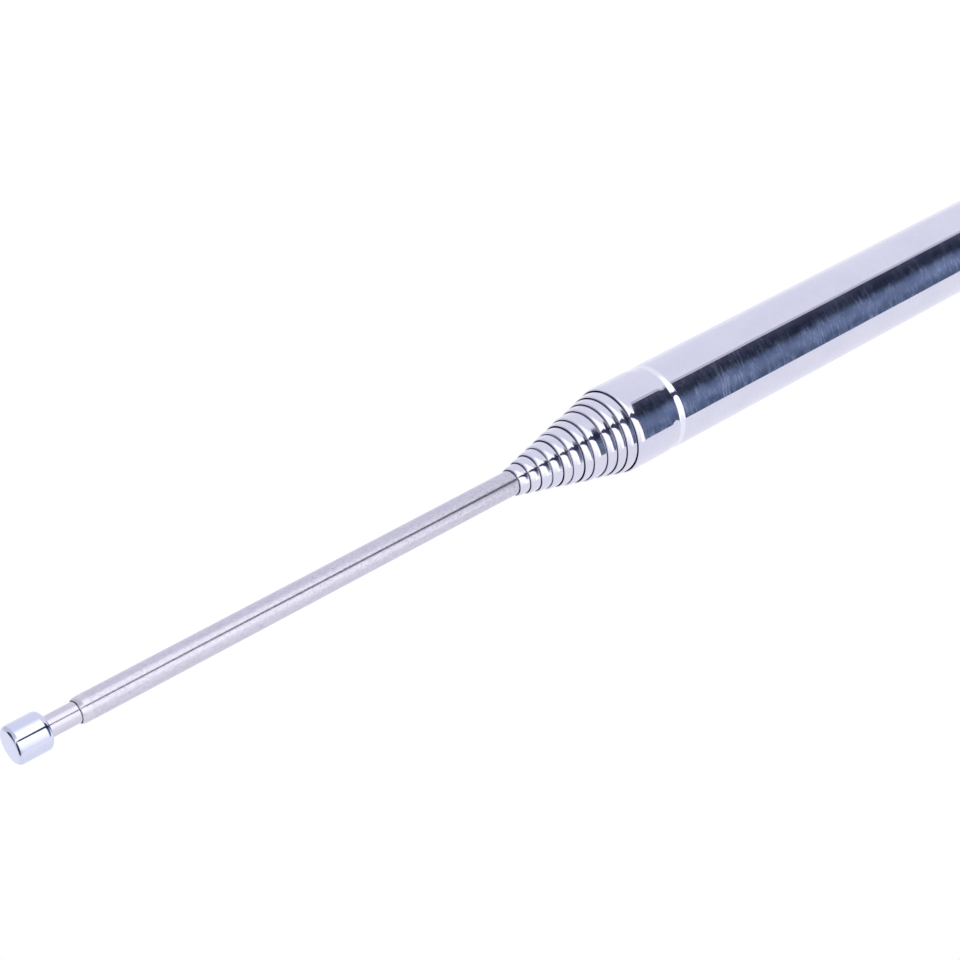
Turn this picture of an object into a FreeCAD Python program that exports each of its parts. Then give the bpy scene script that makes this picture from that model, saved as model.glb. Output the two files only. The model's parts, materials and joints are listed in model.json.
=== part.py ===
import FreeCAD, Part
import math
import os

# Telescopic magnetic pickup tool. Millimetres. The tool lies on its handle tube along X,
# with the magnet at -X. The origin is under the middle of the whole tool, on the floor.

# Handle tube
HANDLE_R = 9.25
HANDLE_LENGTH = 140.0
HANDLE_LIP_LENGTH = 2.2
HANDLE_MOUTH_CLEARANCE = 0.2
GROOVE_START = 9.3
GROOVE_LOW = 11.4
GROOVE_END = 13.0
GROOVE_DEPTH = 0.18

# Nested sections, from the largest (11) to the smallest (1), then the slim tube and the stem
RING_COUNT = 11
SLIM_R = 2.55
STEM_R = 2.05
WALL = 0.3
STEM_WALL = 0.7
RING_LIP_LENGTH = 1.6
SLIM_LIP_LENGTH = 1.2
LIP_DROP = 0.32
LIP_NOSE_R = 0.2
LIP_SLOPE = math.radians(12.0)
LIP_THICKNESS = 0.4
MOUTH_CLEARANCE = 0.18
SLIM_MOUTH_CLEARANCE = 0.15
CLOSED_STEP = 2.0
TAIL_POSITION = 132.0

# How far each lip stands out of the next one, from ring 1 to ring 11
STAND_OUT = (2.33, 2.34, 2.46, 2.40, 2.06, 2.53, 2.02, 3.09, 2.22, 2.07, 2.40)
SLIM_VISIBLE = 99.5
STEM_VISIBLE = 6.2
STEM_CLOSED_STEP = 1.0
STEM_IN_HEAD = 1.1

# Stop bush and split friction spring on each section's tail
BUSH_LENGTH = 6.0
BUSH_CLEARANCE = 0.04
SPRING_LENGTH = 12.0
SPRING_THICKNESS = 0.18
STEM_SPRING_THICKNESS = 0.13
SPRING_SPLIT = 1.2

# Magnet head
HEAD_R = 3.7
HEAD_LENGTH = 7.0
HEAD_FRONT_ROUND = 0.8
HEAD_REAR_ROUND = 1.2
CUP_WALL = 0.7
CUP_FRONT = 0.4
MAGNET_LENGTH = 4.0
PLATE_THICKNESS = 1.5
RIVET_HEAD_R = 2.1
RIVET_HEAD_LENGTH = 0.6
RIVET_GRIP = 4.0

# Rear end of the handle
PLUG_FLANGE = 3.0
PLUG_SPIGOT = 5.0
PLUG_ROUND = 1.2
PAD_GAP = 0.1

# Places along the tool, measured from the handle's lip towards the rear
RINGS_OUT = sum(STAND_OUT)
SLIM_LIP = -RINGS_OUT - SLIM_VISIBLE
HEAD_REAR = SLIM_LIP - STEM_VISIBLE
HEAD_FRONT = HEAD_REAR - HEAD_LENGTH
TOOL_REAR = HANDLE_LENGTH + PLUG_FLANGE
MIDDLE = (HEAD_FRONT + TOOL_REAR) / 2.0
RADIUS_STEP = (HANDLE_R - SLIM_R) / (RING_COUNT + 1)


def point(along, radius):
    return FreeCAD.Vector(along - MIDDLE, 0.0, HANDLE_R + radius)


def line(start, end):
    return Part.LineSegment(start, end).toShape()


def arc(start, middle, end):
    return Part.Arc(start, middle, end).toShape()


def revolve(edges):
    face = Part.Face(Part.Wire(edges))
    axis_point = FreeCAD.Vector(0.0, 0.0, HANDLE_R)
    axis = FreeCAD.Vector(1.0, 0.0, 0.0)
    return face.revolve(axis_point, axis, 360.0)


def lathe(corners):
    points = [point(along, radius) for along, radius in corners]
    edges = [line(a, b) for a, b in zip(points, points[1:] + points[:1])]
    return revolve(edges)


def lip_edges(front, outer_r, lip_length):
    """The edges from the lip's face, round its nose, up to the tube's outside."""
    nose_r = outer_r - LIP_DROP
    half = (math.pi / 2.0 + LIP_SLOPE) / 2.0
    start = point(front, nose_r)
    middle = point(front + LIP_NOSE_R * (1.0 - math.sin(half)), nose_r + LIP_NOSE_R * math.cos(half))
    slope_along = front + LIP_NOSE_R * (1.0 - math.sin(LIP_SLOPE))
    slope_r = nose_r + LIP_NOSE_R * math.cos(LIP_SLOPE)
    bend_along = slope_along + (outer_r - slope_r) / math.tan(LIP_SLOPE)
    end = point(front + lip_length, outer_r)
    curve = Part.BezierCurve()
    curve.setPoles([point(slope_along, slope_r), point(bend_along, outer_r), end])
    return [arc(start, middle, point(slope_along, slope_r)), curve.toShape()], end


def tube(front, tail, outer_r, wall, lip_length, mouth_r, outside=(), inside=()):
    """A tube with a lip rolled in to mouth_r. outside and inside hold (along, radius) extras."""
    bore_r = outer_r - wall
    edges, corner = lip_edges(front, outer_r, lip_length)
    corners = [corner]
    corners += [point(front + along, radius) for along, radius in outside]
    corners += [point(tail, outer_r), point(tail, bore_r)]
    corners += [point(front + along, radius) for along, radius in inside]
    corners += [point(front + lip_length, bore_r), point(front + LIP_THICKNESS, mouth_r)]
    corners += [point(front, mouth_r), point(front, outer_r - LIP_DROP)]
    edges += [line(a, b) for a, b in zip(corners, corners[1:])]
    return revolve(edges)


def groove(base_r):
    """The rolled groove's outline: a gentle dip, then a steeper shoulder."""
    return [(GROOVE_START, base_r), (GROOVE_LOW, base_r - GROOVE_DEPTH), (GROOVE_END, base_r)]


def handle_tube():
    outside = groove(HANDLE_R)
    inside = list(reversed(groove(HANDLE_R - WALL)))
    mouth_r = ring_radius(RING_COUNT) + HANDLE_MOUTH_CLEARANCE
    return tube(0.0, HANDLE_LENGTH, HANDLE_R, WALL, HANDLE_LIP_LENGTH, mouth_r, outside, inside)


def ring_radius(number):
    return SLIM_R + RADIUS_STEP * number


def ring_front(number):
    return -sum(STAND_OUT[number - 1:])


def ring_length(number):
    return TAIL_POSITION + CLOSED_STEP * (RING_COUNT + 1 - number)


def ring_tube(number):
    front = ring_front(number)
    mouth_r = ring_radius(number - 1) + MOUTH_CLEARANCE
    tail = front + ring_length(number)
    return tube(front, tail, ring_radius(number), WALL, RING_LIP_LENGTH, mouth_r)


def slim_tube():
    mouth_r = STEM_R + SLIM_MOUTH_CLEARANCE
    return tube(SLIM_LIP, SLIM_LIP + ring_length(0), SLIM_R, WALL, SLIM_LIP_LENGTH, mouth_r)


def stem_tail():
    return HEAD_REAR + STEM_CLOSED_STEP + ring_length(0)


def sleeve(front, rear, inner_r, outer_r):
    return lathe([(front, inner_r), (front, outer_r), (rear, outer_r), (rear, inner_r)])


def stem():
    return sleeve(HEAD_REAR - STEM_IN_HEAD, stem_tail(), STEM_R - STEM_WALL, STEM_R)


def bush(tail, inner_r, bore_r):
    return sleeve(tail - BUSH_LENGTH, tail, inner_r, bore_r - BUSH_CLEARANCE)


def spring(tail, inner_r, thickness):
    """A split sleeve in front of the bush, open along its top."""
    rear = tail - BUSH_LENGTH
    front = rear - SPRING_LENGTH
    ring = sleeve(front, rear, inner_r, inner_r + thickness)
    corner = point(front, 0.0) - FreeCAD.Vector(0.0, SPRING_SPLIT / 2.0, 0.0)
    slot = Part.makeBox(SPRING_LENGTH, SPRING_SPLIT, inner_r + 2.0 * thickness, corner)
    return ring.cut(slot)


def head_cup():
    """A drawn cup, closed at the front and rolled in over its back plate at the rear."""
    front = HEAD_FRONT
    rear = HEAD_REAR
    bore_r = HEAD_R - CUP_WALL
    neck_r = STEM_R
    bend = 1.0 - math.sqrt(0.5)
    front_arc = arc(point(front, HEAD_R - HEAD_FRONT_ROUND),
                    point(front + HEAD_FRONT_ROUND * bend, HEAD_R - HEAD_FRONT_ROUND * bend),
                    point(front + HEAD_FRONT_ROUND, HEAD_R))
    rear_arc = arc(point(rear - HEAD_REAR_ROUND, HEAD_R),
                   point(rear - HEAD_REAR_ROUND * bend, HEAD_R - HEAD_REAR_ROUND * bend),
                   point(rear, HEAD_R - HEAD_REAR_ROUND))
    side = line(point(front + HEAD_FRONT_ROUND, HEAD_R), point(rear - HEAD_REAR_ROUND, HEAD_R))
    plate_rear = front + CUP_FRONT + MAGNET_LENGTH + PLATE_THICKNESS
    corners = [point(rear, HEAD_R - HEAD_REAR_ROUND), point(rear, neck_r), point(plate_rear, neck_r),
               point(plate_rear, bore_r), point(front + CUP_FRONT, bore_r), point(front + CUP_FRONT, 0.0),
               point(front, 0.0), point(front, HEAD_R - HEAD_FRONT_ROUND)]
    inner = [line(a, b) for a, b in zip(corners, corners[1:])]
    return revolve([front_arc, side, rear_arc] + inner)


def head_magnet():
    front = HEAD_FRONT + CUP_FRONT
    return sleeve(front, front + MAGNET_LENGTH, 0.0, HEAD_R - CUP_WALL)


def head_back_plate():
    """A steel washer behind the magnet, countersunk for the rivet."""
    front = HEAD_FRONT + CUP_FRONT + MAGNET_LENGTH
    rear = front + PLATE_THICKNESS
    shank_r = STEM_R - STEM_WALL
    return lathe([(front, RIVET_HEAD_R), (front, HEAD_R - CUP_WALL), (rear, HEAD_R - CUP_WALL),
                  (rear, shank_r), (front + RIVET_HEAD_LENGTH, shank_r)])


def head_rivet():
    """A countersunk rivet that holds the back plate to the stem."""
    front = HEAD_FRONT + CUP_FRONT + MAGNET_LENGTH
    shank_r = STEM_R - STEM_WALL
    end = HEAD_REAR - STEM_IN_HEAD + RIVET_GRIP
    return lathe([(front, 0.0), (front, RIVET_HEAD_R), (front + RIVET_HEAD_LENGTH, shank_r),
                  (end, shank_r), (end, 0.0)])


def end_plug():
    """The handle's rear plug: a spigot pressed into the tube and a rounded flange behind it."""
    rear = TOOL_REAR
    spigot_r = HANDLE_R - WALL
    bend = 1.0 - math.sqrt(0.5)
    rounded = arc(point(rear - PLUG_ROUND, HANDLE_R),
                  point(rear - PLUG_ROUND * bend, HANDLE_R - PLUG_ROUND * bend),
                  point(rear, HANDLE_R - PLUG_ROUND))
    front = HANDLE_LENGTH - PLUG_SPIGOT
    corners = [point(rear, HANDLE_R - PLUG_ROUND), point(rear, 0.0), point(front, 0.0),
               point(front, spigot_r), point(HANDLE_LENGTH, spigot_r),
               point(HANDLE_LENGTH, HANDLE_R), point(rear - PLUG_ROUND, HANDLE_R)]
    return revolve([rounded] + [line(a, b) for a, b in zip(corners, corners[1:])])


def end_pad():
    """The soft disc close behind the closed sections' tails."""
    return sleeve(TAIL_POSITION + PAD_GAP, HANDLE_LENGTH - PLUG_SPIGOT, 0.0, HANDLE_R - WALL)


def export(name, shape):
    shape.exportStep("parts/" + name + ".step")


def export_tail(name, tail, tube_r, bore_r, thickness):
    export(name + "_bush", bush(tail, tube_r, bore_r))
    export(name + "_spring", spring(tail, tube_r, thickness))


def main():
    os.makedirs("parts", exist_ok=True)
    export("handle_tube", handle_tube())
    export("end_plug", end_plug())
    export("end_pad", end_pad())
    for number in range(1, RING_COUNT + 1):
        name = "ring_" + str(number)
        tail = ring_front(number) + ring_length(number)
        export(name + "_tube", ring_tube(number))
        export_tail(name, tail, ring_radius(number), ring_radius(number + 1) - WALL, SPRING_THICKNESS)
    export("slim_tube", slim_tube())
    export_tail("slim", SLIM_LIP + ring_length(0), SLIM_R, ring_radius(1) - WALL, SPRING_THICKNESS)
    export("stem_tube", stem())
    export_tail("stem", stem_tail(), STEM_R, SLIM_R - WALL, STEM_SPRING_THICKNESS)
    export("head_cup", head_cup())
    export("head_magnet", head_magnet())
    export("head_back_plate", head_back_plate())
    export("head_rivet", head_rivet())


main()
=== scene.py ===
import json
import math

import bmesh
import bpy
from mathutils import Matrix, Vector


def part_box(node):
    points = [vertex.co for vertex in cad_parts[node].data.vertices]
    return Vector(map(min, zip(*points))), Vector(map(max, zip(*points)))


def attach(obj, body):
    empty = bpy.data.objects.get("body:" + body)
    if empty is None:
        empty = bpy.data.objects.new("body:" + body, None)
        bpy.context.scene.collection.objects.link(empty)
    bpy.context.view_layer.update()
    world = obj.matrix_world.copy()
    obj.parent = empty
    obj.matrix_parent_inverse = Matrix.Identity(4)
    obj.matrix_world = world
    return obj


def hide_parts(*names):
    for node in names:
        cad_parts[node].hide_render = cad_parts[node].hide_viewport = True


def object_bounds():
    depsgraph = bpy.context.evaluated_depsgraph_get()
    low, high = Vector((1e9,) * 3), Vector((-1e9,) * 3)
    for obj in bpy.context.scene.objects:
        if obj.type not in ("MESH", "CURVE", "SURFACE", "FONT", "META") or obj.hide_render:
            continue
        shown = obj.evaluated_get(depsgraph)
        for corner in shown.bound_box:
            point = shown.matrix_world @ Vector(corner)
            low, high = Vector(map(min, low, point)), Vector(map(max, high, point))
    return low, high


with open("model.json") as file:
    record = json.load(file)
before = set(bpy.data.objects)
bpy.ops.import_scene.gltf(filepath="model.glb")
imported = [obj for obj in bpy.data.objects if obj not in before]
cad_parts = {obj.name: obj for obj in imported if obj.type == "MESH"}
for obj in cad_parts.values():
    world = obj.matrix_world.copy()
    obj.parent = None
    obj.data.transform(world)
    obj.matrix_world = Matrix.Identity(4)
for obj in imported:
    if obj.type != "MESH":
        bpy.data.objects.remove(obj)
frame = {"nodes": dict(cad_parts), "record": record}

CAD_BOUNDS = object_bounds()
MM = 0.001

# The tubes' section, as built
WALL = 0.3 * MM
STEM_WALL = 0.7 * MM
LIP_DROP = 0.32 * MM
LIP_NOSE = 0.2 * MM
LIP_SLOPE = math.radians(12.0)
LIP_THICKNESS = 0.4 * MM
HANDLE_LIP_LENGTH = 2.2 * MM
RING_LIP_LENGTH = 1.6 * MM
SLIM_LIP_LENGTH = 1.2 * MM
GROOVE_START = 9.3 * MM
GROOVE_LOW = 11.4 * MM
GROOVE_END = 13.0 * MM
GROOVE_DEPTH = 0.18 * MM

# The gaps in the tubes' mouths. The rings' gaps are in millimetres, from ring 1 to ring 11, and
# differ a little, because no two lips are rolled quite alike.
HANDLE_GAP = 0.22 * MM
SLIM_GAP = 0.15 * MM
RING_GAPS = (0.16, 0.17, 0.18, 0.12, 0.20, 0.12, 0.22, 0.16, 0.15, 0.17, 0.18)

# How much sooner the sections' tails end here than as built, so that they touch nothing, and
# how far behind its face the slim tube is still smooth
TAIL_RELIEF = 0.05 * MM
SLIM_SMOOTH = 2.1 * MM

# The head and the rear plug, as built
HEAD_FRONT_ROUND = 0.8 * MM
HEAD_REAR_ROUND = 1.2 * MM
CUP_WALL = 0.7 * MM
CUP_FRONT = 0.4 * MM
PLUG_ROUND = 1.2 * MM

# How finely round shapes are cut, and how close two points count as one
TURN_STEPS = 192
CURVE_STEPS = 20
SHARP_ANGLE = math.radians(32.0)
MERGE_DISTANCE = 0.0001 * MM
THIN_DISTANCE = 0.00001 * MM

# Camera, and where the handle's lip sits in front of it
CAMERA_AZIMUTH = math.radians(-40.73)
CAMERA_ELEVATION = math.radians(37.29)
CAMERA_LENS = 82.5
CAMERA_SENSOR = 36.0
CAMERA_CLIP = 10.0 * MM
LIP_RIGHT = 25.74 * MM
LIP_UP = 9.76 * MM
LIP_AWAY = 442.8 * MM

# The handle's place in the frame
low_corner, high_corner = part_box("handle_tube")
AXIS_Z = (low_corner[2] + high_corner[2]) / 2.0
HANDLE_FRONT = low_corner[0]


def rgb(red, green, blue):
    return (red, green, blue, 1.0)


# Noises: cells per metre along and across the tool, detail, roughness, and where each starts
FINE_LINES = ((6500.0, 420.0, 420.0), 3.0, 0.6, (0.0, 0.0, 0.0))
STROKES = ((2600.0, 110.0, 110.0), 2.0, 0.5, (9.0, 4.0, 6.0))
PATCHES = ((230.0, 300.0, 300.0), 4.0, 0.65, (3.1, 1.7, 0.4))
CLOUDS = ((90.0, 130.0, 130.0), 2.0, 0.5, (0.7, 4.2, 2.9))
WAVES = ((70.0, 190.0, 190.0), 1.0, 0.4, (2.2, 0.3, 5.1))
MOTTLE = ((1300.0, 2600.0, 2600.0), 4.0, 0.65, (0.0, 0.0, 0.0))
SPECKS = ((1500.0, 1900.0, 1900.0), 1.0, 0.5, (5.0, 2.0, 8.0))
DRAWN_LINES = ((60.0, 5200.0, 5200.0), 2.0, 0.5, (1.0, 6.0, 3.0))
RUBBER_GRAIN = ((1800.0, 1800.0, 1800.0), 3.0, 0.6, (0.0, 0.0, 0.0))

# Where each effect starts to show in its noise, and where it shows in full
LINE_LEVELS = (0.46, 0.68)
STROKE_LEVELS = (0.62, 0.72)
STROKE_PATCH_LEVELS = (0.40, 0.60)
WORN_LEVELS = (0.35, 0.62)
CLOUD_LEVELS = (0.35, 0.65)
MOTTLE_LEVELS = (0.36, 0.64)
GRAIN_LEVELS = (0.3, 0.7)
SPECK_LEVELS = (0.70, 0.80)

# The two shades of each material
STEEL_SHADES = (rgb(0.665, 0.66, 0.76), rgb(0.64, 0.635, 0.74))
CHROME_SHADES = (rgb(0.62, 0.645, 0.79), rgb(0.60, 0.625, 0.775))
SATIN_SHADES = (rgb(0.59, 0.575, 0.66), rgb(0.515, 0.50, 0.59))
BRASS_SHADES = (rgb(0.78, 0.60, 0.30), rgb(0.70, 0.52, 0.24))
BRONZE_SHADES = (rgb(0.62, 0.40, 0.22), rgb(0.54, 0.33, 0.18))
NICKEL_SHADES = (rgb(0.62, 0.61, 0.58), rgb(0.56, 0.55, 0.53))
RUBBER_SHADES = (rgb(0.02, 0.02, 0.02), rgb(0.05, 0.05, 0.05))

# Bright metal
LINES_WHEN_FRESH = 0.25
STROKE_STRENGTH = 0.8
WORN_VEIL = 0.2
MARK_ROUGHNESS = 0.10
VEIL_OFF_FLANK = 0.25
FLANK_BLUR = 0.8 * MM
HANDLE_FLANK = (AXIS_Z + 1.6 * MM, AXIS_Z + 6.4 * MM)
# A painted highlight on the handle groove's shoulder: its inset from the shoulder's ends, its blur,
# strength and colour
HIGHLIGHT_INSET = 0.2 * MM
HIGHLIGHT_BLUR = 0.3 * MM
HIGHLIGHT_STRENGTH = 0.5
PAINTED_HIGHLIGHT_COLOUR = rgb(0.90, 0.90, 0.95)
SCUFF_COLOUR = rgb(0.50, 0.62, 0.95)
FINE_SHARE = 0.6
FINE_RELIEF = 0.02 * MM
TUBE_SWAY = 0.03 * MM
RING_SWAY = 0.08 * MM

# Drawn steel and rubber
BURNISH_END_BLUR = 0.15 * MM
SPECK_STRENGTH = 0.5
SPECK_COLOUR = rgb(0.16, 0.15, 0.17)
GRAIN_ROUGHNESS = (-0.03, 0.01)
RAW_ROUGHNESS = 0.02
MOTTLE_SHARE = 0.6
SATIN_BUMP = 0.04
SATIN_RELIEF = 0.03 * MM
RUBBER_BUMP = 0.4
RUBBER_RELIEF = 0.05 * MM
RUBBER_ROUGHNESS = 0.75

# The card under the tool, which glows, with a painted pool of light that makes it a little brighter
# close in front of the pulled-out sections
FLOOR_FRONT = -40.5 * MM
FLOOR_LEFT = CAD_BOUNDS[0][0] - 12.0 * MM
FLOOR_FAR = 1.6
FLOOR_NEAR_SIDE = (-28.0 * MM, -4.0 * MM)
FLOOR_LEFT_SIDE = (-60.0 * MM, -15.0 * MM)
FLOOR_GLOW = rgb(0.91, 0.91, 0.95)
FLOOR_POOL_OF_LIGHT = rgb(1.05, 1.05, 1.05)
FLOOR_PAPER = rgb(0.16, 0.16, 0.16)

# The surroundings, by direction. A place is how far it points along the tool, from -1 at the
# tip's end to 1, and an angle goes round the tool, in degrees, from the horizon in front (0)
# to straight up (90).
TENT = rgb(1.0, 1.0, 1.08)
LEFT_TENT = rgb(0.78, 0.78, 0.86)
LEFT_PLACES = (0.05, 0.22)

PANEL = rgb(1.65, 1.65, 1.65)
PANEL_TOP = 70.0
PANEL_TOP_BLUR = 15.0
PANEL_RAISE = 33.0
PANEL_RISE_PLACES = (0.20, 0.27)
PANEL_FALL_PLACES = (0.34, 0.50)
PANEL_FOOT_PLACES = (0.42, 0.50)
PANEL_FOOT_STARTS = (-30.0, -34.0)
PANEL_FOOT_ENDS = (32.0, -20.0)
PANEL_END_PLACES = (0.555, 0.60)

DARK_END = rgb(0.03, 0.035, 0.06)
UPPER_END_PLACES = (-0.74, -0.66)
UPPER_END_STARTS = (118.0, 126.0)
UPPER_END_STOPS = (-158.0, -150.0)
LOWER_END_PLACES = (-0.82, -0.74)
LOWER_END_ANGLES = (-112.0, 48.0)
LOWER_END_BLUR = 5.0

SEAM = rgb(0.047, 0.051, 0.115)
SEAM_ANGLES = (52.0, 45.7)
SEAM_SHIFT_PLACES = (0.42, 0.52)
SEAM_HALF = (3.0, 4.5, 9.5)
SEAM_PLACES = (-0.1, 0.3, 0.52)

GAP_PLACES = (0.51, 0.577)
GAP_TOP = 78.5
GAP_BOTTOM = -40.0
GAP_BLUR = 1.0
GAP_BLACK = rgb(0.020, 0.025, 0.050)
GAP_GREY = rgb(0.060, 0.062, 0.105)
GREY_ANGLES = (55.0, 80.0)
ROOM_DARK = rgb(0.080, 0.115, 0.200)
ROOM_LIGHT = rgb(0.155, 0.205, 0.34)
ROOM_TOP_ANGLES = (31.0, 47.0)
ROOM_LIGHT_ANGLES = (0.0, 28.0)
ROOM_LIGHT_BLUR = 12.0

EDGE = rgb(0.20, 0.20, 0.24)
EDGE_ABOVE_GAP = (2.2, 4.4)
EDGE_BLUR = 0.7
EDGE_STRENGTH = 0.8


# ---------------------------------------------------------------- shapes

def ends_and_radius(node):
    low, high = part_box(node)
    return low[0], high[0], (high[2] - low[2]) / 2.0


def arc(centre, size, start, end):
    """Points of an arc of radius size between two angles, in degrees, as (along, radius)."""
    points = []
    for step in range(CURVE_STEPS + 1):
        angle = math.radians(start + (end - start) * step / CURVE_STEPS)
        points.append((centre[0] + size * math.cos(angle), centre[1] + size * math.sin(angle)))
    return points


def ease(start, end):
    """Points of a smooth S-shaped step from start to end, both as (along, radius)."""
    points = []
    for step in range(CURVE_STEPS + 1):
        t = step / CURVE_STEPS
        s = t * t * (3.0 - 2.0 * t)
        points.append((start[0] + (end[0] - start[0]) * t, start[1] + (end[1] - start[1]) * s))
    return points


def turned_points(profile):
    """The rows of points that a profile leaves on its way round the tool's axis."""
    verts = []
    for along, radius in profile:
        for step in range(TURN_STEPS):
            turn = 2.0 * math.pi * step / TURN_STEPS
            verts.append((along, radius * math.cos(turn), AXIS_Z + radius * math.sin(turn)))
    return verts


def turned_faces(rows):
    """The faces between neighbouring rows, the last row being next to the first."""
    faces = []
    for row in range(rows):
        for step in range(TURN_STEPS):
            a = row * TURN_STEPS + step
            b = row * TURN_STEPS + (step + 1) % TURN_STEPS
            c = (row + 1) % rows * TURN_STEPS + (step + 1) % TURN_STEPS
            d = (row + 1) % rows * TURN_STEPS + step
            faces.append((a, b, c, d))
    return faces


def lathe(name, profile):
    """Turns a closed profile of (along, radius) points about the tool's axis."""
    mesh = bpy.data.meshes.new(name)
    mesh.from_pydata(turned_points(profile), [], turned_faces(len(profile)))
    work = bmesh.new()
    work.from_mesh(mesh)
    bmesh.ops.remove_doubles(work, verts=work.verts, dist=MERGE_DISTANCE)
    bmesh.ops.dissolve_degenerate(work, edges=work.edges, dist=THIN_DISTANCE)
    bmesh.ops.recalc_face_normals(work, faces=work.faces)
    for face in work.faces:
        face.smooth = True
    work.to_mesh(mesh)
    work.free()
    mesh.set_sharp_from_angle(angle=SHARP_ANGLE)
    piece = bpy.data.objects.new(name, mesh)
    bpy.context.collection.objects.link(piece)
    return piece


def lip(front, radius, length):
    """The lip from its face to the tube's outside: a round nose, then a slope that levels out."""
    nose = arc((front + LIP_NOSE, radius - LIP_DROP), LIP_NOSE,
               180.0, 90.0 + math.degrees(LIP_SLOPE))
    start = nose[-1]
    bend = (start[0] + (radius - start[1]) / math.tan(LIP_SLOPE), radius)
    end = (front + length, radius)
    points = []
    for step in range(1, CURVE_STEPS + 1):
        t = step / CURVE_STEPS
        shares = ((1.0 - t) ** 2, 2.0 * t * (1.0 - t), t * t)
        along = sum(share * pole[0] for share, pole in zip(shares, (start, bend, end)))
        height = sum(share * pole[1] for share, pole in zip(shares, (start, bend, end)))
        points.append((along, height))
    return nose + points


def tube_profile(front, rear, radius, length, mouth, outside=(), inside=()):
    """A tube's closed section. outside and inside are extra points of its two surfaces."""
    bore = radius - WALL
    profile = [(front, mouth)] + lip(front, radius, length)
    profile += [(front + along, value) for along, value in outside]
    profile += [(rear, radius), (rear, bore)]
    profile += [(front + along, value) for along, value in inside]
    profile += [(front + length, bore), (front + LIP_THICKNESS, mouth)]
    return profile


def groove(base):
    """The rolled groove in a surface of radius base: a gentle dip and a steeper shoulder."""
    bottom = base - GROOVE_DEPTH
    dip = ease((GROOVE_START, base), (GROOVE_LOW, bottom))
    shoulder = ease((GROOVE_LOW, bottom), (GROOVE_END, base))
    return dip + shoulder[1:]


def finish_piece(piece, node, body, material):
    piece.data.materials.append(material)
    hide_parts(node)
    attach(piece, body)


def make_handle(material):
    front, rear, radius = ends_and_radius("handle_tube")
    mouth = ends_and_radius("ring_11_tube")[2] + HANDLE_GAP
    inside = list(reversed(groove(radius - WALL)))
    profile = tube_profile(front, rear, radius, HANDLE_LIP_LENGTH, mouth, groove(radius), inside)
    finish_piece(lathe("handle_skin", profile), "handle_tube", "handle", material)


def make_rings(material):
    for number, gap in enumerate(RING_GAPS, start=1):
        node = "ring_" + str(number) + "_tube"
        inner = "ring_" + str(number - 1) + "_tube" if number > 1 else "slim_tube"
        front, rear, radius = ends_and_radius(node)
        mouth = ends_and_radius(inner)[2] + gap * MM
        profile = tube_profile(front, rear - TAIL_RELIEF, radius, RING_LIP_LENGTH, mouth)
        piece = lathe("ring_" + str(number) + "_skin", profile)
        finish_piece(piece, node, "ring_" + str(number), material)


def make_slim(material):
    front, rear, radius = ends_and_radius("slim_tube")
    mouth = ends_and_radius("stem_tube")[2] + SLIM_GAP
    profile = tube_profile(front, rear - TAIL_RELIEF, radius, SLIM_LIP_LENGTH, mouth)
    finish_piece(lathe("slim_skin", profile), "slim_tube", "slim", material)


def make_stem(material):
    front, rear, radius = ends_and_radius("stem_tube")
    tail = rear - TAIL_RELIEF
    bore = radius - STEM_WALL
    profile = [(front, radius), (tail, radius), (tail, bore), (front, bore)]
    finish_piece(lathe("stem_skin", profile), "stem_tube", "stem", material)


def make_head(material):
    front, rear, radius = ends_and_radius("head_cup")
    neck = ends_and_radius("stem_tube")[2]
    inner_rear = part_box("head_back_plate")[1][0]
    bore = radius - CUP_WALL
    nose = arc((front + HEAD_FRONT_ROUND, radius - HEAD_FRONT_ROUND), HEAD_FRONT_ROUND, 180.0, 90.0)
    back = arc((rear - HEAD_REAR_ROUND, radius - HEAD_REAR_ROUND), HEAD_REAR_ROUND, 90.0, 0.0)
    profile = [(front, 0.0)] + nose + back
    profile += [(rear, neck), (inner_rear, neck), (inner_rear, bore), (front + CUP_FRONT, bore)]
    profile += [(front + CUP_FRONT, 0.0)]
    finish_piece(lathe("head_cup_skin", profile), "head_cup", "stem", material)


def make_plug(material):
    front, rear, radius = ends_and_radius("end_plug")
    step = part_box("handle_tube")[1][0]
    spigot = ends_and_radius("handle_tube")[2] - WALL
    back = arc((rear - PLUG_ROUND, radius - PLUG_ROUND), PLUG_ROUND, 90.0, 0.0)
    profile = [(front, 0.0), (front, spigot), (step, spigot), (step, radius)] + back + [(rear, 0.0)]
    finish_piece(lathe("end_plug_skin", profile), "end_plug", "handle", material)


# ---------------------------------------------------------------- materials

DOWN = (1.0, 0.0)


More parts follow.
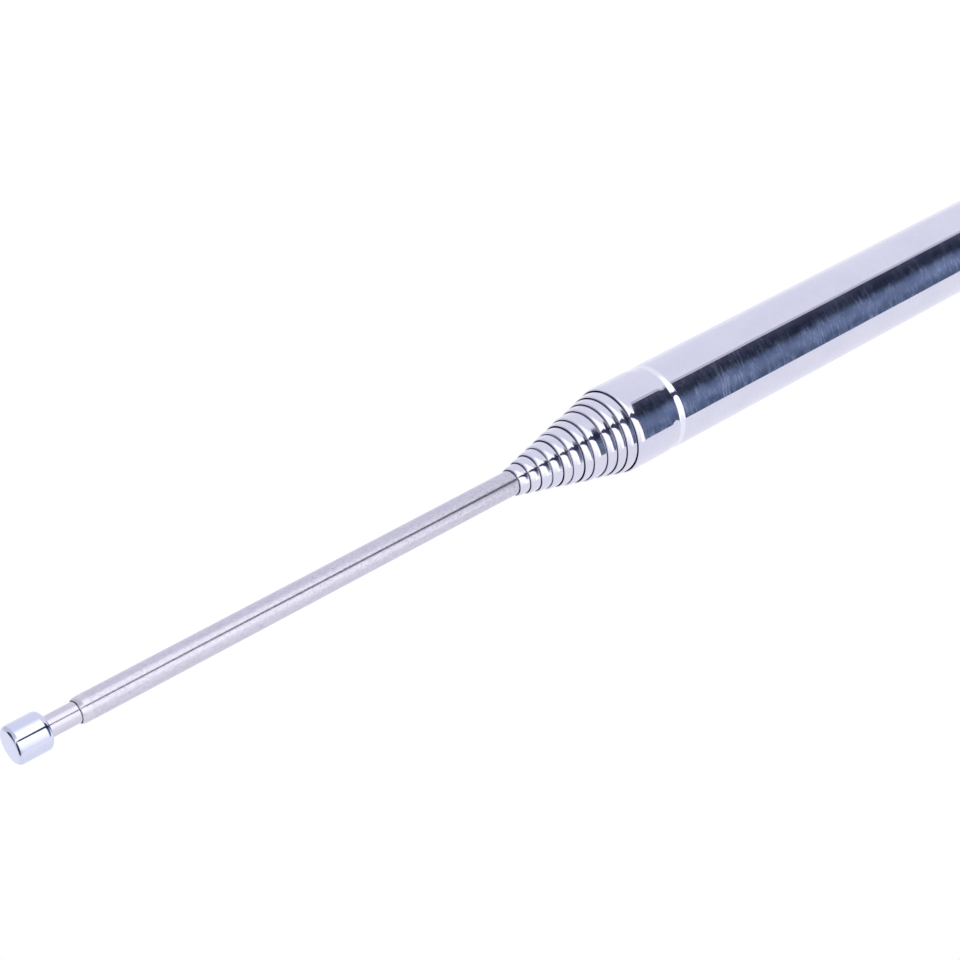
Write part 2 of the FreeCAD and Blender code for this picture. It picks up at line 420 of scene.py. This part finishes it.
class Nodes:
    """A short way to build a node tree."""

    def __init__(self, tree):
        self.tree = tree
        self.tree.nodes.clear()

    def add(self, kind, inputs=None, **settings):
        node = self.tree.nodes.new(kind)
        for name, value in settings.items():
            setattr(node, name, value)
        for key, value in (inputs or {}).items():
            self.put(node.inputs[key], value)
        return node

    def put(self, socket, value):
        if isinstance(value, bpy.types.NodeSocket):
            self.tree.links.new(value, socket)
        else:
            socket.default_value = value

    def math(self, operation, a, b=0.0, c=0.0):
        node = self.add("ShaderNodeMath", {0: a, 1: b, 2: c}, operation=operation)
        return node.outputs[0]

    def ramp(self, value, span, results=(0.0, 1.0), kind="SMOOTHSTEP"):
        """Goes from results[0] to results[1] while value goes from span[0] to span[1]."""
        inputs = {0: value, 1: span[0], 2: span[1], 3: results[0], 4: results[1]}
        return self.add("ShaderNodeMapRange", inputs, interpolation_type=kind).outputs[0]

    def between(self, value, span, blur):
        """1 where value lies within span, with edges blurred by blur to each side."""
        rises = self.ramp(value, (span[0] - blur, span[0] + blur))
        falls = self.ramp(value, (span[1] - blur, span[1] + blur), DOWN)
        return self.math("MULTIPLY", rises, falls)

    def mix(self, factor, a, b):
        node = self.add("ShaderNodeMix", {0: factor, 6: a, 7: b}, data_type="RGBA")
        return node.outputs[2]

    def here(self):
        """The point's place in the object's own metres, as three outputs."""
        place = self.add("ShaderNodeTexCoord").outputs["Object"]
        return self.add("ShaderNodeSeparateXYZ", {0: place}).outputs

    def noise(self, scale, detail, roughness, start):
        """Noise over the object's own metres, with a scale for each axis."""
        place = self.add("ShaderNodeTexCoord").outputs["Object"]
        mapped = self.add("ShaderNodeMapping", {"Vector": place, "Scale": scale, "Location": start})
        node = self.add("ShaderNodeTexNoise", {"Vector": mapped.outputs[0], "Scale": 1.0,
                                               "Detail": detail, "Roughness": roughness})
        return node.outputs["Fac"]


def new_material(name):
    """A material with an empty node tree, and the builder for that tree."""
    material = bpy.data.materials.new(name)
    material.use_nodes = True
    return material, Nodes(material.node_tree)


def scratches(n):
    """Fine lines and longer strokes round the tube, how worn each place is, and the height of
    its surface."""
    patch = n.noise(*PATCHES)
    fine = n.noise(*FINE_LINES)
    worn = n.ramp(patch, WORN_LEVELS)
    density = n.math("MULTIPLY_ADD", worn, 1.0 - LINES_WHEN_FRESH, LINES_WHEN_FRESH)
    lines = n.math("MULTIPLY", n.ramp(fine, LINE_LEVELS), density)
    strokes = n.math("MULTIPLY", n.ramp(n.noise(*STROKES), STROKE_LEVELS),
                     n.ramp(patch, STROKE_PATCH_LEVELS))
    marks = n.math("MAXIMUM", lines, n.math("MULTIPLY", strokes, STROKE_STRENGTH))
    height = n.math("ADD", n.math("MULTIPLY", fine, FINE_SHARE),
                    n.math("MULTIPLY", patch, 1.0 - FINE_SHARE))
    return marks, worn, height


def metal(name, base, tint, rough, haze, bump, sway=TUBE_SWAY, painted_highlight=None, flank=None):
    """Bright metal with fine scratches round the tube. base and tint are its two shades, haze
    is how much the scuffs show, and sway is how deep the surface's slow waves are.
    painted_highlight is a stretch along the tool where a highlight is painted into the colour,
    brighter. flank is a pair of heights that most of the scuffs lie between."""
    material, n = new_material(name)
    marks, worn, height = scratches(n)
    veil = n.math("ADD", marks, n.math("MULTIPLY", worn, WORN_VEIL))
    roughness = n.math("ADD", n.math("MULTIPLY", marks, MARK_ROUGHNESS), rough)
    colour = n.mix(n.ramp(n.noise(*CLOUDS), CLOUD_LEVELS), base, tint)
    if flank:
        beside = n.between(n.here()[2], flank, FLANK_BLUR)
        share = n.math("MULTIPLY_ADD", beside, 1.0 - VEIL_OFF_FLANK, VEIL_OFF_FLANK)
        veil = n.math("MULTIPLY", veil, share)
    if painted_highlight:
        # A painted highlight: a strip along the tool is drawn brighter in the colour
        strip = n.between(n.here()[0], painted_highlight, HIGHLIGHT_BLUR)
        colour = n.mix(n.math("MULTIPLY", strip, HIGHLIGHT_STRENGTH), colour, PAINTED_HIGHLIGHT_COLOUR)
    rolled = n.add("ShaderNodeBump", {"Strength": 1.0, "Distance": sway, "Height": n.noise(*WAVES)})
    relief = n.add("ShaderNodeBump", {"Strength": bump, "Distance": FINE_RELIEF, "Height": height,
                                      "Normal": rolled.outputs[0]})
    bright = n.add("ShaderNodeBsdfPrincipled", {"Base Color": colour, "Metallic": 1.0,
                                                "Roughness": roughness, "Normal": relief.outputs[0]})
    scuffed = n.add("ShaderNodeBsdfDiffuse", {"Color": SCUFF_COLOUR})
    shader = n.add("ShaderNodeMixShader", {0: n.math("MULTIPLY", veil, haze), 1: bright.outputs[0],
                                           2: scuffed.outputs[0]})
    n.add("ShaderNodeOutputMaterial", {"Surface": shader.outputs[0]})
    return material


def satin(name, base, tint, rough, smooth_end):
    """Unpolished drawn steel: mottled, with fine lines along the tube and a few dark specks.
    In front of smooth_end it's polished smooth."""
    material, n = new_material(name)
    raw = n.ramp(n.here()[0], (smooth_end - BURNISH_END_BLUR, smooth_end + BURNISH_END_BLUR))
    mottle = n.noise(*MOTTLE)
    shade = n.mix(n.math("MULTIPLY", n.ramp(mottle, MOTTLE_LEVELS), raw), base, tint)
    spots = n.ramp(n.noise(*SPECKS), SPECK_LEVELS, (0.0, SPECK_STRENGTH))
    colour = n.mix(spots, shade, SPECK_COLOUR)
    grainy = n.math("ADD", n.ramp(mottle, GRAIN_LEVELS, GRAIN_ROUGHNESS), rough)
    roughness = n.math("MULTIPLY_ADD", raw, RAW_ROUGHNESS, grainy)
    height = n.math("ADD", n.math("MULTIPLY", mottle, MOTTLE_SHARE),
                    n.math("MULTIPLY", n.noise(*DRAWN_LINES), 1.0 - MOTTLE_SHARE))
    relief = n.add("ShaderNodeBump", {"Strength": SATIN_BUMP, "Distance": SATIN_RELIEF,
                                      "Height": height})
    shader = n.add("ShaderNodeBsdfPrincipled", {"Base Color": colour, "Metallic": 1.0,
                                                "Roughness": roughness, "Normal": relief.outputs[0]})
    n.add("ShaderNodeOutputMaterial", {"Surface": shader.outputs[0]})
    return material


def rubber(name, base, tint):
    """Dull rubber with a fine grain."""
    material, n = new_material(name)
    grain = n.noise(*RUBBER_GRAIN)
    relief = n.add("ShaderNodeBump", {"Strength": RUBBER_BUMP, "Distance": RUBBER_RELIEF,
                                      "Height": grain})
    shader = n.add("ShaderNodeBsdfPrincipled", {"Base Color": n.mix(grain, base, tint),
                                                "Roughness": RUBBER_ROUGHNESS,
                                                "Normal": relief.outputs[0]})
    n.add("ShaderNodeOutputMaterial", {"Surface": shader.outputs[0]})
    return material


def dress_inner_pieces(materials):
    """Gives the CAD pieces that stay their own materials, by the record's slots."""
    for part in frame["record"]["subparts"]:
        piece = frame["nodes"][part["node"]]
        material = materials[part["material_slot"]]
        if not piece.material_slots:
            piece.data.materials.append(material)
        for entry in piece.material_slots:
            entry.material = material


# ---------------------------------------------------------------- stage, light and camera

def make_floor():
    """A white card under the tool. Its front edge is close to the tool, so that edge is what
    the polished tubes mirror at the foot of their dark band."""
    corners = [(FLOOR_LEFT, FLOOR_FRONT, 0.0), (FLOOR_FAR, FLOOR_FRONT, 0.0),
               (FLOOR_FAR, FLOOR_FAR, 0.0), (FLOOR_LEFT, FLOOR_FAR, 0.0)]
    mesh = bpy.data.meshes.new("floor")
    mesh.from_pydata(corners, [], [(0, 1, 2, 3)])
    floor = bpy.data.objects.new("floor", mesh)
    bpy.context.collection.objects.link(floor)
    material, n = new_material("floor_card")
    # A painted pool of light: the card glows brighter close in front of the tool and towards its left
    nearer = n.ramp(n.here()[1], FLOOR_NEAR_SIDE, DOWN, "LINEAR")
    leftward = n.ramp(n.here()[0], FLOOR_LEFT_SIDE, DOWN)
    lit = n.mix(n.math("MULTIPLY", nearer, leftward), FLOOR_GLOW, FLOOR_POOL_OF_LIGHT)
    paper = n.add("ShaderNodeBsdfDiffuse", {"Color": FLOOR_PAPER})
    glow = n.add("ShaderNodeEmission", {"Color": lit, "Strength": 1.0})
    both = n.add("ShaderNodeAddShader", {0: paper.outputs[0], 1: glow.outputs[0]})
    n.add("ShaderNodeOutputMaterial", {"Surface": both.outputs[0]})
    mesh.materials.append(material)


def tent_and_panel(n, along, angle):
    """A white tent, a little darker to the left, with a bright panel in front."""
    raised = n.math("MULTIPLY", n.ramp(along, PANEL_RISE_PLACES), n.ramp(along, PANEL_FALL_PLACES, DOWN))
    top = n.math("MULTIPLY_ADD", raised, PANEL_RAISE, PANEL_TOP)
    falls = n.ramp(n.math("SUBTRACT", angle, top), (-PANEL_TOP_BLUR, PANEL_TOP_BLUR), DOWN)
    foot_starts = n.ramp(along, PANEL_FOOT_PLACES, PANEL_FOOT_STARTS)
    foot_ends = n.ramp(along, PANEL_FOOT_PLACES, PANEL_FOOT_ENDS)
    rises = n.ramp(angle, (foot_starts, foot_ends))
    ends = n.ramp(along, PANEL_END_PLACES, DOWN)
    bright = n.math("MULTIPLY", n.math("MULTIPLY", rises, falls), ends)
    tent = n.mix(n.ramp(along, LEFT_PLACES, DOWN), TENT, LEFT_TENT)
    return n.mix(bright, tent, PANEL)


def add_dark_ends(n, along, angle, colour):
    """The dark ends of the room beyond the head, above and below a window."""
    above = n.math("MAXIMUM", n.ramp(angle, UPPER_END_STARTS), n.ramp(angle, UPPER_END_STOPS, DOWN))
    upper = n.math("MULTIPLY", above, n.ramp(along, UPPER_END_PLACES, DOWN))
    below = n.between(angle, LOWER_END_ANGLES, LOWER_END_BLUR)
    lower = n.math("MULTIPLY", below, n.ramp(along, LOWER_END_PLACES, DOWN))
    return n.mix(n.math("MAXIMUM", upper, lower), colour, DARK_END)


def gap_colour(n, angle, opened):
    """Black above and a navy room below where the gap has opened, and the seam's shade before."""
    black = n.mix(n.ramp(angle, GREY_ANGLES), GAP_BLACK, GAP_GREY)
    upper = n.mix(opened, SEAM, black)
    room = n.mix(n.between(angle, ROOM_LIGHT_ANGLES, ROOM_LIGHT_BLUR), ROOM_DARK, ROOM_LIGHT)
    lower = n.math("MULTIPLY", n.ramp(angle, ROOM_TOP_ANGLES, DOWN), opened)
    return n.mix(lower, upper, room)


def add_gap(n, along, angle, colour):
    """The tent's dark gap, a thin seam that opens to the right, and a thin edge above it."""
    opened = n.ramp(along, GAP_PLACES)
    thin = n.ramp(along, SEAM_PLACES[:2], SEAM_HALF[:2], "LINEAR")
    widens = n.ramp(along, SEAM_PLACES[1:], (0.0, SEAM_HALF[2] - SEAM_HALF[1]), "LINEAR")
    half = n.math("ADD", thin, widens)
    seam = n.ramp(along, SEAM_SHIFT_PLACES, SEAM_ANGLES)
    highest = n.ramp(along, GAP_PLACES, (seam, GAP_TOP - SEAM_HALF[2]))
    lowest = n.ramp(along, GAP_PLACES, (seam, GAP_BOTTOM + SEAM_HALF[2]))
    top = n.math("ADD", highest, half)
    foot = n.math("SUBTRACT", lowest, half)
    under = n.ramp(n.math("SUBTRACT", top, angle), (-GAP_BLUR, GAP_BLUR))
    over = n.ramp(n.math("SUBTRACT", angle, foot), (-GAP_BLUR, GAP_BLUR))
    colour = n.mix(n.math("MULTIPLY", under, over), colour, gap_colour(n, angle, opened))
    beyond = n.math("SUBTRACT", angle, top)
    edge = n.math("MULTIPLY", n.between(beyond, EDGE_ABOVE_GAP, EDGE_BLUR), opened)
    return n.mix(n.math("MULTIPLY", edge, EDGE_STRENGTH), colour, EDGE)


def make_world():
    """A white tent with a bright panel and a dark gap. The camera itself sees plain white."""
    world = bpy.data.worlds.new("studio")
    bpy.context.scene.world = world
    world.use_nodes = True
    n = Nodes(world.node_tree)
    towards = n.add("ShaderNodeTexCoord").outputs["Generated"]
    parts = n.add("ShaderNodeSeparateXYZ", {0: towards})
    along = parts.outputs[0]
    turn = n.math("ARCTAN2", parts.outputs[2], n.math("MULTIPLY", parts.outputs[1], -1.0))
    angle = n.math("MULTIPLY", turn, math.degrees(1.0))
    colour = tent_and_panel(n, along, angle)
    colour = add_dark_ends(n, along, angle, colour)
    colour = add_gap(n, along, angle, colour)
    seen = n.add("ShaderNodeLightPath").outputs["Is Camera Ray"]
    colour = n.mix(seen, colour, rgb(1.0, 1.0, 1.0))
    sky = n.add("ShaderNodeBackground", {"Color": colour, "Strength": 1.0})
    n.add("ShaderNodeOutputWorld", {"Surface": sky.outputs[0]})


def make_camera():
    data = bpy.data.cameras.new("camera")
    data.lens = CAMERA_LENS
    data.sensor_width = CAMERA_SENSOR
    data.clip_start = CAMERA_CLIP
    camera = bpy.data.objects.new("camera", data)
    bpy.context.collection.objects.link(camera)
    flat = math.cos(CAMERA_ELEVATION)
    away = Vector((-math.sin(CAMERA_AZIMUTH) * flat, math.cos(CAMERA_AZIMUTH) * flat,
                   -math.sin(CAMERA_ELEVATION)))
    right = Vector((math.cos(CAMERA_AZIMUTH), math.sin(CAMERA_AZIMUTH), 0.0))
    up = right.cross(away)
    lip_centre = Vector((HANDLE_FRONT, 0.0, AXIS_Z))
    place = lip_centre - right * LIP_RIGHT - up * LIP_UP - away * LIP_AWAY
    turn = Matrix((right, up, -away)).transposed().to_4x4()
    camera.matrix_world = Matrix.Translation(place) @ turn
    bpy.context.scene.camera = camera


def make_materials():
    """The record's material slots, and the rings' own steel."""
    # The handle groove's shoulder gets a painted highlight in its colour
    shoulder = (HANDLE_FRONT + GROOVE_LOW + HIGHLIGHT_INSET, HANDLE_FRONT + GROOVE_END - HIGHLIGHT_INSET)
    slim_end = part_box("slim_tube")[0][0] + SLIM_SMOOTH
    return {
        "polished_steel": metal("polished_steel", *STEEL_SHADES, rough=0.04, haze=0.27, bump=0.06,
                                painted_highlight=shoulder, flank=HANDLE_FLANK),
        "rolled_steel": metal("rolled_steel", *STEEL_SHADES, rough=0.065, haze=0.06, bump=0.05,
                              sway=RING_SWAY),
        "chrome": metal("chrome_plate", *CHROME_SHADES, rough=0.035, haze=0.02, bump=0.01),
        "satin_steel": satin("satin_steel", *SATIN_SHADES, rough=0.19, smooth_end=slim_end),
        "brass": metal("brass_bush", *BRASS_SHADES, rough=0.22, haze=0.05, bump=0.15),
        "bronze": metal("bronze_strip", *BRONZE_SHADES, rough=0.28, haze=0.05, bump=0.15),
        "magnet": metal("nickel_plate", *NICKEL_SHADES, rough=0.18, haze=0.05, bump=0.1),
        "rubber": rubber("rubber_pad", *RUBBER_SHADES),
    }


def main():
    materials = make_materials()
    dress_inner_pieces(materials)
    make_handle(materials["polished_steel"])
    make_rings(materials["rolled_steel"])
    make_slim(materials["satin_steel"])
    make_stem(materials["satin_steel"])
    make_head(materials["chrome"])
    make_plug(materials["rolled_steel"])
    make_floor()
    make_world()
    make_camera()
    bpy.context.scene.view_settings.view_transform = "Standard"


main()
